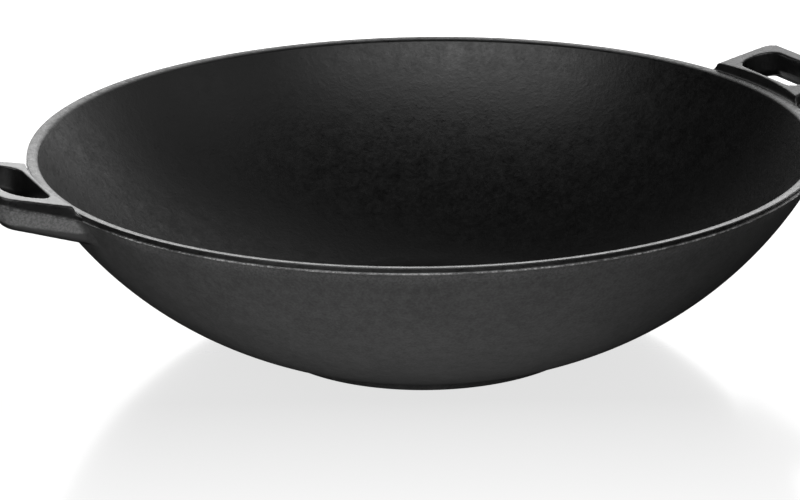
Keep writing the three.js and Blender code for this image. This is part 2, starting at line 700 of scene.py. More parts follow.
FOOT = IronFinish(
    name="rubbed_foot",
    dark=0.085,
    light=0.13,
    roughness=0.6,
    roughness_swing=0.14,
    specular=0.1,
    grain_per_metre=1100.0,
    grain_depth=0.1,
    mottle_per_metre=150.0,
    mottle_depth=0.08,
    wear_and_highlights=(WearAndHighlight("rub", 0.2, 0.65),),
)
HANDLE = IronFinish(
    name="satin_handle",
    dark=0.004,
    light=0.009,
    roughness=0.32,
    roughness_swing=0.18,
    ior=1.55,
    specular=0.45,
    grain_per_metre=900.0,
    grain_depth=0.05,
    mottle_per_metre=260.0,
    mottle_depth=0.09,
    # The "top" layer is a painted highlight on the handle's upward-facing tops; "ground" and
    # "flash" are bare metal.
    wear_and_highlights=(WearAndHighlight("ground", 0.15, 0.45), WearAndHighlight("top", 0.15, 0.4), WearAndHighlight("flash", 0.22, 0.65)),
)


# Sizes shared by the pieces, in millimetres


@dataclass(frozen=True)
class Casting:
    """The wok's overall sizes and the arcs of its wall."""

    rim_radius: float = 185.0
    rim_height: float = 96.8
    parting_height: float = 94.2
    wall_top_radius: float = 184.5
    arc_radius: float = 176.75
    wall: float = 4.7
    foot_radius: float = 79.5
    foot_height: float = 3.6
    floor_height: float = 7.0
    floor_blend: float = 60.0

    @property
    def arc_centre(self) -> Point:
        """Centre of the side's arc, through the foot's top edge and the wall's top edge.

        Returns:
            Radius and height of the centre.
        """
        low = Vector((self.foot_radius, self.foot_height))
        high = Vector((self.wall_top_radius, self.parting_height))
        chord = high - low
        rise = math.sqrt(self.arc_radius**2 - chord.length_squared / 4)
        centre = (low + high) / 2 + Vector((-chord.y, chord.x)).normalized() * rise
        return (centre.x, centre.y)

    @property
    def inner_arc_radius(self) -> float:
        """Radius of the arc inside the wall."""
        return self.arc_radius - self.wall

    def angle_at(self, arc_radius: float, height: float) -> float:
        """Angle on an arc of the wall at some height."""
        return math.asin((height - self.arc_centre[1]) / arc_radius)

    def radius_at(self, arc_radius: float, height: float) -> float:
        """Distance from the axis of an arc of the wall at some height."""
        return self.arc_centre[0] + arc_radius * math.cos(self.angle_at(arc_radius, height))

    def wall_arc(self, arc_radius: float, low: float, high: float, steps: int) -> list[Point]:
        """Points up an arc of the wall between two heights."""
        start, end = self.angle_at(arc_radius, low), self.angle_at(arc_radius, high)
        return arc(self.arc_centre, arc_radius, start, end, steps)


WOK = Casting()


@dataclass
class Piece:
    """A visual piece that stands for one CAD node."""

    node: str
    slot: Slot
    mesh: bpy.types.Object | None = None

    def hand_over(self) -> None:
        """Let the piece ride on its body and stand for its node, whose CAD part it hides."""
        assert self.mesh is not None
        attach(self.mesh, BODY)
        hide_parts(self.node)
        LOG.info("%s: %d faces", self.mesh.name, len(self.mesh.data.polygons))


# Pieces


@dataclass
class Bowl(Piece):
    """The round-sided wall and the cooking floor."""

    node: str = "bowl"
    slot: Slot = Slot.BOWL
    spin_steps: int = 256
    wall_steps: int = 48
    blend_steps: int = 14
    floor_rings: int = 8
    dust: Ragged = Ragged(0.5, 0.6, 22.0)
    dust_fade: Range = (0.5, 7.0)
    crisp_angle: float = 35.0

    def build(self) -> None:
        """Spin the wall's section: up its outside, over the lip's seat and down to the floor."""
        inner = WOK.inner_arc_radius
        height = WOK.floor_height + WOK.floor_blend
        drop = height - WOK.arc_centre[1]
        offset = math.sqrt((inner - WOK.floor_blend) ** 2 - drop**2)
        blend_centre = (WOK.arc_centre[0] + offset, height)
        turn = math.atan2(drop, offset)
        blend = arc(blend_centre, WOK.floor_blend, turn, -math.pi / 2, self.blend_steps)
        top = WOK.angle_at(inner, WOK.parting_height)
        floor_edge = blend[-1][0]
        rings = np.linspace(floor_edge, 0.0, self.floor_rings + 1)[1:]
        section = [
            (0.0, WOK.foot_height),
            *WOK.wall_arc(WOK.arc_radius, WOK.foot_height, WOK.parting_height, self.wall_steps),
            *arc(WOK.arc_centre, inner, top, turn, self.wall_steps),
            *blend[1:],
            *[(radius, WOK.floor_height) for radius in rings],
        ]
        self.mesh = draw_section("wok_bowl", section)
        spin_section(self.mesh, self.spin_steps)

    def dress(self) -> None:
        """Dust the outside under the parting line, and finish the outside and the inside."""
        points = points_of(self.mesh)
        below = WOK.parting_height - points[:, 2]
        patches = np.clip(self.dust.at(points), 0, 1)
        paint(self.mesh, "dust", patches * (1 - smooth_step(below, *self.dust_fade)))
        mesh = self.mesh.data
        mesh.materials.append(OUTSIDE.material())
        mesh.materials.append(INSIDE.material())
        flat = np.zeros(len(mesh.polygons) * 3, np.float32)
        mesh.polygons.foreach_get("center", flat)
        centres = flat.reshape(-1, 3) / MM
        radius = np.hypot(centres[:, 0], centres[:, 1])
        reach = np.hypot(radius - WOK.arc_centre[0], centres[:, 2] - WOK.arc_centre[1])
        in_wall = reach < WOK.arc_radius - WOK.wall / 2
        over_floor = centres[:, 2] > (WOK.foot_height + WOK.floor_height) / 2
        mesh.polygons.foreach_set("material_index", (in_wall & over_floor).astype(np.int32))
        shade(self.mesh, self.crisp_angle)


@dataclass
class FootPad(Piece):
    """The short flat foot, filleted into the bowl's underside."""

    node: str = "foot_pad"
    slot: Slot = Slot.FOOT
    spin_steps: int = 256
    rings: int = 6
    round_steps: int = 6
    edge_round: float = 1.2
    draft: float = 0.15
    fillet: float = 1.1
    fillet_height: float = 0.9
    fillet_sink: float = 0.06
    seat_inset: float = 1.0
    rub_height: float = 0.8
    rub_start: float = 0.8
    rub_middle: float = 0.35
    crisp_angle: float = 40.0

    def build(self) -> None:
        """Spin the foot's section from its underside to its seat under the bowl."""
        edge = (WOK.foot_radius - self.edge_round, self.edge_round)
        neck = WOK.foot_radius - self.draft
        base = WOK.foot_height - self.fillet_height
        meet = WOK.foot_radius + self.fillet
        drop = math.sqrt(WOK.arc_radius**2 - (meet - WOK.arc_centre[0]) ** 2)
        rise = WOK.arc_centre[1] - drop + self.fillet_sink - base
        section = [
            *[(radius, 0.0) for radius in np.linspace(0, edge[0], self.rings, endpoint=False)],
            *arc(edge, self.edge_round, -math.pi / 2, 0, self.round_steps),
            *[
                (neck + (meet - neck) * (1 - math.cos(a)), base + rise * math.sin(a))
                for a in np.linspace(0, math.pi / 2, self.round_steps + 1)
            ],
            (WOK.foot_radius - self.seat_inset, WOK.foot_height),
            (WOK.foot_radius / 2, WOK.foot_height),
            (0.0, WOK.foot_height),
        ]
        self.mesh = draw_section("wok_foot", section)
        spin_section(self.mesh, self.spin_steps)
        # The fillet's thin tip makes the recalculation turn the faces inwards.
        with Editing(self.mesh):
            bpy.ops.mesh.flip_normals()

    def dress(self) -> None:
        """Rub the underside and its edge, and give it the foot's finish."""
        points = points_of(self.mesh)
        radius = np.hypot(points[:, 0], points[:, 1])
        under = share_between(points[:, 2], self.rub_height, 0.0)
        edge = share_between(radius, self.rub_start * WOK.foot_radius, WOK.foot_radius)
        paint(self.mesh, "rub", under * (self.rub_middle + (1 - self.rub_middle) * edge))
        self.mesh.data.materials.append(FOOT.material())
        shade(self.mesh, self.crisp_angle)


@dataclass
class RimLip(Piece):
    """The crowned band above the mould's parting line, with the rough bead of that line."""

    node: str = "rim_lip"
    slot: Slot = Slot.LIP
    spin_steps: int = 1024
    face_draft: float = 0.05
    outer_round: float = 0.45
    outer_round_steps: int = 7
    inner_round_width: float = 4.9
    inner_round_drop: float = 1.5
    inner_round_points: int = 12
    inner_fade: Range = (0.0, 0.5)
    crown_lean: float = 0.085
    seat_profile: tuple[Point, ...] = ((-3.0, 0.0), (-1.0, -0.3))
    bead_depth: float = 0.75
    bead_sink: float = 0.1
    face_profile: tuple[Point, ...] = (
        (-0.22, -0.5),
        (0.16, -0.22),
        (0.3, 0.0),
        (0.26, 0.2),
        (0.02, 0.4),
        (-0.04, 0.62),
        (-0.12, 1.1),
    )
    bead_centre: float = 0.02
    bead_half: float = 0.34
    bead_inset: float = 0.3
    bead_roughness: float = 0.34
    bead_chips: tuple[Ragged, ...] = (
        Ragged(0.0, 0.6, 2.6),
        Ragged(0.0, 0.5, 7.5),
        Ragged(0.0, 0.4, 1.3),
    )
    bead_wander: Ragged = Ragged(0.0, 0.17, 3.1)
    wander_offset: float = 40.0
    bare: Ragged = Ragged(0.55, 0.7, 23.0)
    bare_chips: float = 0.8
    crisp_angle: float = 50.0

    @staticmethod
    def beyond_rim(profile: Sequence[Point]) -> list[Point]:
        """Points given by distance beyond the rim and height above the parting line."""
        return [(WOK.rim_radius + out, WOK.parting_height + up) for out, up in profile]

    def build(self) -> None:
        """Spin the lip's section and roughen its bead."""
        inner, parting, crown = WOK.inner_arc_radius, WOK.parting_height, WOK.rim_height
        base = crown - self.inner_round_drop
        middle = (parting + base) / 2
        tuck = parting - self.bead_depth
        inner_radius = WOK.radius_at(inner, base)
        round_radius = WOK.rim_radius - self.face_draft - self.outer_round
        round_centre = (round_radius, crown - self.outer_round)
        start = Vector((inner_radius, base))
        slope = math.tan(-WOK.angle_at(inner, base))
        rise = self.inner_round_drop - self.crown_lean * self.inner_round_width
        bend = start + Vector((slope, 1.0)) * rise
        end = Vector((inner_radius + self.inner_round_width, crown))
        section = [
            (WOK.radius_at(inner, parting), parting),
            *self.beyond_rim(self.seat_profile),
            (WOK.radius_at(WOK.arc_radius, tuck) - self.bead_sink, tuck),
            *self.beyond_rim(self.face_profile),
            *arc(round_centre, self.outer_round, 0, math.pi / 2, self.outer_round_steps),
            *[
                tuple(start * (1 - t) ** 2 + bend * (2 * t * (1 - t)) + end * t**2)
                for t in np.linspace(1, 0, self.inner_round_points)
            ],
            (WOK.radius_at(inner, middle), middle),
            (WOK.radius_at(inner, parting), parting),
        ]
        self.mesh = draw_section("wok_rim_lip", section)
        spin_section(self.mesh, self.spin_steps)
        self.roughen_bead()
        points = points_of(self.mesh)
        over = (np.hypot(points[:, 0], points[:, 1]) - inner_radius) / self.inner_round_width
        paint(self.mesh, "inner", 1 - smooth_step(over, *self.inner_fade))

    def roughen_bead(self) -> None:
        """Break the bead up as a fettled casting line and store where it lies."""
        points = points_of(self.mesh)
        radius = np.hypot(points[:, 0], points[:, 1])
        above = points[:, 2] - WOK.parting_height - self.bead_centre
        on_bead = np.exp(-((above / self.bead_half) ** 2))
        on_bead[radius < WOK.rim_radius - self.bead_inset] = 0.0
        chips = sum(chip.at(points) for chip in self.bead_chips)
        outwards = points[:, :2] / radius[:, None]
        points[:, :2] += outwards * (on_bead * self.bead_roughness * chips)[:, None]
        points[:, 2] += on_bead * self.bead_wander.at(points + self.wander_offset)
        move_points(self.mesh, points)
        bare = self.bare.at(points) + self.bare_chips * chips
        paint(self.mesh, "flash", np.clip(on_bead * bare, 0, 1))

    def dress(self) -> None:
        """Give the lip its finish, running into the inside's on its inner round."""
        self.mesh.data.materials.append(LIP.material(INSIDE, "inner"))
        shade(self.mesh, self.crisp_angle)


@dataclass(frozen=True)
class Level:
    """One of the handle's sloping levels, and how its outlines differ there.

    Attributes:
        base: surface that it follows.
        lift: distance above that surface.
        grow: distance by which the loop is grown.
        flare: spread of the root along the wall.
    """

    base: Surface
    lift: float
    grow: float = 0.0
    flare: float = 0.0


@dataclass
class LoopHandle(Piece):
    """One raised loop handle, cast on to the wall under the rim."""

    slot: Slot = Slot.HANDLE
    gap_start: float = 189.0
    gap_end: float = 208.7
    gap_half: float = 26.0
    gap_inner_corner: float = 7.5
    gap_outer_corner: float = 10.0
    gap_margin: float = 1.5
    tip: float = 213.5
    tip_half: float = 31.8
    root_half: float = 35.1
    corner_round: float = 6.0
    corner_points: int = 9
    flare_reach: float = 0.52
    flare_round: float = 1.1
    root_depth: float = 22.0
    top_at_rim: float = 100.4
    top_slope: float = 0.25
    parting_slope: float = 0.31
    under_at_rim: float = 83.8
    under_slope: float = 0.33
    outer_levels: tuple[Level, ...] = (
        Level(Surface.TOP, 0.0, 0.3, 3.4),
        Level(Surface.PARTING, 0.5, 0.95, 3.4),
        Level(Surface.PARTING, -1.7, 0.95, 3.0),
        Level(Surface.UNDER, 4.6, 0.75, 2.4),
        Level(Surface.UNDER, 2.4, 0.25, 1.8),
        Level(Surface.UNDER, 0.9, -0.8, 1.4),
        Level(Surface.UNDER, 0.0, -2.8, 1.0),
    )
    gap_levels: tuple[Level, ...] = (
        Level(Surface.TOP, 0.0, 0.0),
        Level(Surface.UNDER, 5.5, 0.2),
        Level(Surface.UNDER, 2.2, -1.4),
        Level(Surface.UNDER, 0.0, -4.4),
    )
    root_profile: tuple[Point, ...] = (
        (-1.2, 94.2),
        (-1.2, 95.6),
        (-0.3, 96.46),
        (0.5, 96.9),
        (1.0, 97.6),
        (1.75, 100.6),
        (1.95, 101.2),
        (1.95, 115.0),
    )
    cutter_low: float = 52.0
    cutter_step: float = 0.3
    cutter_arc_steps: int = 20
    cutter_spin_steps: int = 192
    skin_sink: float = 0.12
    skin_depth: float = 2.4
    skin_low: float = 72.0
    skin_turn: float = math.radians(15)
    skin_inset: float = 0.2
    skin_back: float = 2.2
    skin_face_start: float = 0.4
    skin_inner_end: float = 0.5
    skin_crown: tuple[Point, ...] = ((-0.1, -0.9), (-0.35, -0.3), (-0.95, 0.0), (-1.68, -0.3))
    skin_arc_steps: int = 16
    skin_spin_steps: int = 60
    voxel: float = 0.5
    pass_strength: float = 0.5
    edge_passes: int = 6
    root_passes: int = 50
    soften_under: Range = (98.0, 96.0)
    soften_reach: float = 3.0
    soften_beside: Range = (-1.0, 2.0)
    soften_inwards: Range = (192.0, 188.0)
    soften_share: float = 0.8
    soften_least: float = 0.02
    line_upright: Range = (0.875, 0.25)
    line_clear: Range = (0.3, 1.5)
    line_half: float = 0.5
    line_proud: float = 0.28
    line_chips: Ragged = Ragged(0.7, 0.5, 4.0)
    line_flash: Ragged = Ragged(0.6, 0.6, 3.0)
    ground_edge: Ragged = Ragged(0.0, 0.35, 3.5)
    ground_level: Level = Level(Surface.PARTING, 0.2)
    ground_height: float = 4.7
    ground_taper: float = 0.07
    ground_turn: float = 0.25
    ground_turn_start: float = -3.0
    ground_turn_length: float = 6.0
    ground_upper: Range = (0.0, 0.6)
    ground_lower: Range = (-0.6, 0.8)
    ground_root: Range = (-8.5, -6.5)
    # Facing and height ranges of the painted highlight on the handle's tops.
    painted_highlight_facing: Range = (0.8, 0.93)
    painted_highlight_over: Range = (1.0, 3.0)
    wall_under: Range = (0.2, -0.4)
    wall_reach: Range = (0.4, 3.0)
    crisp_angle: float = 60.0

    def height(self, level: Level, out: np.ndarray | float) -> np.ndarray | float:
        """Height of a level at some distance beyond the rim.

        Args:
            level: the level.
            out: distance beyond the rim.

        Returns:
            The height, in millimetres.
        """
        base, slope = {
            Surface.TOP: (self.top_at_rim, self.top_slope),
            Surface.PARTING: (WOK.parting_height, self.parting_slope),
            Surface.UNDER: (self.under_at_rim, self.under_slope),
        }[level.base]
        return base + level.lift + slope * out

    def rounded(self, corners: Sequence[tuple[float, float, float]]) -> np.ndarray:
        """A closed path with each corner rounded by its own radius, as evenly matched points.

        Args:
            corners: distance out, distance along the rim and radius of each corner.

        Returns:
            The path's points.
        """
        path = []
        for i, (x, y, radius) in enumerate(corners):
            here = Vector((x, y))
            back = (Vector(corners[i - 1][:2]) - here).normalized()
            ahead = (Vector(corners[(i + 1) % len(corners)][:2]) - here).normalized()
            half = math.acos(max(-1.0, min(1.0, back.dot(ahead)))) / 2
            trim = radius / math.tan(half)
            start, end = here + back * trim, here + ahead * trim
            centre = here + (back + ahead).normalized() * (radius / math.sin(half))
            for t in np.linspace(0, 1, self.corner_points) if radius else ():
                spoke = (start - centre).lerp(end - centre, t)
                path.append(centre + spoke.normalized() * radius)
            if not radius:
                path.append(here)
        return np.array([(p.x, p.y) for p in path])

    def wall_radius(self, level: Level) -> float:
        """Distance from the axis at which a level meets the wall or the rim.

        Args:
            level: the level.

        Returns:
            The distance, in millimetres.
        """
        radius = WOK.rim_radius
        for _ in range(4):
            height = min(self.height(level, radius - WOK.rim_radius), WOK.parting_height)
            radius = WOK.radius_at(WOK.arc_radius, height)
        return radius if height < WOK.parting_height else WOK.rim_radius

    def outline(self, level: Level) -> np.ndarray:
        """The loop's outer outline at a level.

        Args:
            level: the level.

        Returns:
            The outline's points.
        """
        meet = self.wall_radius(level)
        taper = (self.root_half - self.tip_half) / (self.tip - WOK.rim_radius)
        root = self.root_half + taper * (WOK.rim_radius - meet) + level.grow
        spread = root + level.flare
        start = math.sqrt(meet**2 - spread**2)
        turn = math.sqrt(meet**2 - root**2) + self.flare_reach * level.flare
        half = [
            (WOK.rim_radius - self.root_depth, -spread, 0.0),
            (start, -spread, 0.0),
            (turn, -root, self.flare_round * level.flare),
            (self.tip + level.grow, -self.tip_half - level.grow, self.corner_round + level.grow),
        ]
        return self.rounded(half + [(x, -y, r) for x, y, r in reversed(half)])

    def gap(self, level: Level) -> np.ndarray:
        """The finger gap's outline at a level.

        Args:
            level: the level.

        Returns:
            The outline's points.
        """
        side = self.gap_half - level.grow
        near, far = self.gap_start + level.grow, self.gap_end - level.grow
        corners = [
            (near, -side, self.gap_inner_corner - level.grow),
            (near, side, self.gap_inner_corner - level.grow),
            (far, side, self.gap_outer_corner - level.grow),
            (far, -side, self.gap_outer_corner - level.grow),
        ]
        return self.rounded(corners)

    def add_loop(self, piece: bpy.types.Object, path: np.ndarray, level: Level) -> None:
        """Add a circle to the piece in edit mode and lay it on a path at a level.

        Args:
            piece: object in edit mode.
            path: the path's points.
            level: the level.
        """
        bpy.ops.mesh.primitive_circle_add(vertices=len(path), radius=MM, fill_type="NOTHING")
        net = bmesh.from_edit_mesh(piece.data)
        ring = [v for v in net.verts if v.select]
        for vertex, (x, y) in zip(ring, path):
            vertex.co = Vector((x, y, self.height(level, x - WOK.rim_radius))) * MM
        bmesh.update_edit_mesh(piece.data)

    @staticmethod
    def select_rings(piece: bpy.types.Object, spans: Iterable[range]) -> None:
        """Select whole rings of vertices by number, in edit mode.

        Args:
            piece: object in edit mode.
            spans: vertex numbers of each ring.
        """
        bpy.ops.mesh.select_all(action="DESELECT")
        net = bmesh.from_edit_mesh(piece.data)
        net.verts.ensure_lookup_table()
        for span in spans:
            for number in span:
                net.verts[number].select = True
        net.select_flush(True)
        bmesh.update_edit_mesh(piece.data)

    def blank(self) -> bpy.types.Object:
        """Model the loop with drafted sides from rings bridged level by level.

        Returns:
            The closed blank, whose root runs on into the bowl.
        """
        piece = single_point("handle_blank")
        with Editing(piece):
            bpy.ops.mesh.delete(type="VERT")
            spans: list[list[range]] = [[], []]
            start = 0
            chains = ((self.outline, self.outer_levels), (self.gap, self.gap_levels))
            for chain, (shape, levels) in enumerate(chains):
                for level in levels:
                    path = shape(level)
                    self.add_loop(piece, path, level)
                    spans[chain].append(range(start, start + len(path)))
                    start += len(path)
            for chain in spans:
                for upper, lower in zip(chain, chain[1:]):
                    self.select_rings(piece, (upper, lower))
                    bpy.ops.mesh.bridge_edge_loops()
            for end in (0, -1):
                self.select_rings(piece, (spans[0][end], spans[1][end]))
                bpy.ops.mesh.fill(use_beauty=True)
            bpy.ops.mesh.select_all(action="SELECT")
            bpy.ops.mesh.remove_doubles(threshold=MERGE_DISTANCE)
            bpy.ops.mesh.normals_make_consistent(inside=False)
        return piece

    def root_cutter(self) -> bpy.types.Object:
        """Model what is cut off the blank's root: the bowl, less a skin of its wall.

        Returns:
            The closed cutter.
        """
        shrunk = WOK.arc_radius - self.skin_depth / 2
        high = WOK.parting_height - self.cutter_step
        section = [
            (0.0, self.cutter_low),
            *WOK.wall_arc(shrunk, self.cutter_low, high, self.cutter_arc_steps),
            *[(WOK.rim_radius + out, height) for out, height in self.root_profile],
            (0.0, self.root_profile[-1][1]),
        ]
        piece = draw_section("handle_root_cutter", section)
        spin_section(piece, self.cutter_spin_steps)
        return piece

    def root_skin(self) -> bpy.types.Object:
        """Model the skin of wall and lip that the handle fuses with, just under their surface.

        Returns:
            The closed skin.
        """
        outer = WOK.arc_radius - self.skin_sink
        inner = WOK.arc_radius - self.skin_depth
        low, parting = self.skin_low, WOK.parting_height
        face = WOK.rim_radius - self.skin_inset - self.skin_sink
        crown = WOK.rim_height - self.skin_sink
        inside = WOK.wall_arc(inner, low, parting - self.skin_inner_end, self.skin_arc_steps)
        section = [
            *WOK.wall_arc(outer, low, parting, self.skin_arc_steps),
            (face, parting + self.skin_face_start),
            *[(face + out, crown + up) for out, up in self.skin_crown],
            (WOK.rim_radius - self.skin_back, parting),
            *reversed(inside),
        ]
        piece = draw_section("handle_root_skin", section, closed=True)
        with Editing(piece):
            bpy.ops.transform.rotate(
                value=self.skin_turn, orient_axis="Z", center_override=(0, 0, 0)
            )
        points = points_of(piece)
        lean = math.atan2(points[0, 1], points[0, 0])
        with Editing(piece):
            bpy.ops.mesh.spin(
                steps=self.skin_spin_steps, angle=2 * lean, center=(0, 0, 0), axis=(0, 0, 1)
            )
            bpy.ops.mesh.select_all(action="SELECT")
            bpy.ops.mesh.remove_doubles(threshold=MERGE_DISTANCE)
            bpy.ops.mesh.fill_holes(sides=0)
            bpy.ops.mesh.normals_make_consistent(inside=False)
        return piece

    def depth_in_wall(self, points: np.ndarray) -> np.ndarray:
        """Distance outside the bowl's outer surface, negative inside it.

        Args:
            points: places in millimetres.

        Returns:
            One distance per point.
        """
        radius = np.hypot(points[:, 0], points[:, 1])
        centre = WOK.arc_centre
        reach = np.hypot(radius - centre[0], points[:, 2] - centre[1]) - WOK.arc_radius
        above = points[:, 2] > WOK.parting_height
        return np.where(above, radius - WOK.rim_radius, reach)

    def build(self) -> None:
        """Fuse the trimmed blank with its skin of wall, and round every edge as a casting's."""
        piece, cutter, skin = self.blank(), self.root_cutter(), self.root_skin()
        apply_modifier(piece, "BOOLEAN", operation="DIFFERENCE", object=cutter, solver="EXACT")
        bpy.data.objects.remove(cutter)
        only(piece)
        skin.select_set(True)
        bpy.ops.object.join()
        apply_modifier(piece, "REMESH", mode="VOXEL", voxel_size=self.voxel * MM, adaptivity=0.0)
        apply_modifier(
            piece, "SMOOTH", factor=self.pass_strength, iterations=self.edge_passes
        )
        self.soften_root(piece)
        self.raise_parting_line(piece)
        piece.name = piece.data.name = "wok_handle"
        self.mesh = piece

    def soften_root(self, piece: bpy.types.Object) -> None:
        """Deepen the fillets where the loop meets the wall.

        Args:
            piece: the fused handle.
        """
        points = points_of(piece)
        below = share_between(points[:, 2], *self.soften_under)
        near = np.exp(-((self.depth_in_wall(points) / self.soften_reach) ** 2)) * below
        beside = share_between(np.abs(points[:, 1]) - self.root_half, *self.soften_beside)
        inwards = share_between(points[:, 0], *self.soften_inwards)
        near = np.maximum(near, self.soften_share * beside * inwards)
        group = piece.vertex_groups.new(name="root")
        for number in np.nonzero(near > self.soften_least)[0]:
            group.add([int(number)], float(near[number]), "REPLACE")
        apply_modifier(
            piece,
            "SMOOTH",
            factor=self.pass_strength,
            iterations=self.root_passes,
            vertex_group=group.name,
        )
        piece.vertex_groups.clear()

    def raise_parting_line(self, piece: bpy.types.Object) -> None:
        """Raise the thin fettled line along the handle's widest level and store where it lies.

        Args:
            piece: the fused handle.
        """
        points, normals = points_of(piece), normals_of(piece)
        line = self.height(self.outer_levels[1], points[:, 0] - WOK.rim_radius)
        upright = share_between(np.abs(normals[:, 2]), *self.line_upright)
        exposed = share_between(self.depth_in_wall(points), *self.line_clear)
        beside_gap = np.abs(points[:, 1]) < self.gap_half + self.gap_margin
        in_gap = beside_gap & (points[:, 0] < self.gap_end + self.gap_margin)
        exposed[in_gap] = 0.0
        on_line = np.exp(-(((points[:, 2] - line) / self.line_half) ** 2)) * upright * exposed
        proud = self.line_proud * on_line * self.line_chips.at(points)
        move_points(piece, points + normals * proud[:, None])
        paint(piece, "flash", np.clip(on_line * self.line_flash.at(points), 0, 1))
        self.paint_ground_band_and_highlight(piece, in_gap)

    def paint_ground_band_and_highlight(self, piece: bpy.types.Object, in_gap: np.ndarray) -> None:
        """Store where the sides were ground, where the tops take a painted highlight, and where
        the wall begins.

        Args:
            piece: the fused handle.
            in_gap: whether each vertex is inside the finger gap.
        """
        points = points_of(piece)
        out = points[:, 0] - WOK.rim_radius
        ragged = self.ground_edge.at(points)
        below = self.height(self.ground_level, out) - points[:, 2]
        above = points[:, 2] - self.height(Level(Surface.UNDER, 0.0), out)
        turned = np.clip(self.ground_turn_start - out, 0, self.ground_turn_length)
        edge = self.ground_height - self.ground_taper * out + self.ground_turn * turned
        band = smooth_step(below + ragged, *self.ground_upper)
        band *= smooth_step(above - edge + ragged, *self.ground_lower)
        band *= smooth_step(out + ragged, *self.ground_root)
        band[in_gap] = 0.0
        paint(piece, "ground", band)
        # Painted highlight: upward-facing surfaces above the parting level are made lighter, as
        # if lit from above.
        over = points[:, 2] - self.height(Level(Surface.PARTING, 0.0), out)
        facing = smooth_step(normals_of(piece)[:, 2], *self.painted_highlight_facing)
        paint(piece, "top", facing * smooth_step(over, *self.painted_highlight_over))
        under_lip = smooth_step(points[:, 2] - WOK.parting_height, *self.wall_under)
        clear = smooth_step(self.depth_in_wall(points), *self.wall_reach)
        paint(piece, "wall", under_lip * (1 - clear))

    def copied_to(self, node: str, side: Side, name: str) -> "LoopHandle":
        """Copy the finished handle to a side of the wok, with its own mesh.

        Args:
            node: CAD node that the copy stands for.
            side: side of the wok.
            name: name of the copy.

        Returns:
            The handle on that side.
        """
        copy = self.mesh.copy()
        copy.data = self.mesh.data.copy()
        copy.name = copy.data.name = name
        bpy.context.scene.collection.objects.link(copy)
        copy.data.transform(Matrix.Rotation(side.value, 4, "Z"))
        return LoopHandle(node=node, mesh=copy)

    def dress(self) -> None:
        """Give the handle its finish."""
        self.mesh.data.materials.append(HANDLE.material(OUTSIDE, "wall"))
        shade(self.mesh, self.crisp_angle)


# Studio


@dataclass(frozen=True)
class SoftLight:
    """A soft light far away, placed round the wok as seen from the camera."""

    name: str
    bearing: float
    elevation: float
    sharpness: float
    strength: float

    def direction(self, camera_azimuth: float) -> Vector:
        """Direction of the light from the wok.

        Args:
            camera_azimuth: the camera's azimuth, in degrees.

        Returns:
            A unit vector.
        """
        return outward(camera_azimuth + self.bearing, self.elevation)

    def glow(self, graph: Graph, look: bpy.types.NodeSocket, camera_azimuth: float) -> Value:
        """The light's strength in a direction, as nodes.

        Args:
            graph: the world's graph.
            look: the direction.
            camera_azimuth: the camera's azimuth, in degrees.

        Returns:
            The strength.
        """
        facing = graph.along(look, self.direction(camera_azimuth)) * 0.5 + 0.5
        return facing.clamped() ** self.sharpness * self.strength


def outward(azimuth: float, elevation: float) -> Vector:
    """Direction from the wok at an azimuth and elevation.

    Args:
        azimuth: degrees round the axis, 0 in front.
        elevation: degrees above the floor.

    Returns:
        A unit vector.
    """
    turn, lift = math.radians(azimuth), math.radians(elevation)
    return Vector(
        (math.sin(turn) * math.cos(lift), -math.cos(turn) * math.cos(lift), math.sin(lift))
    )


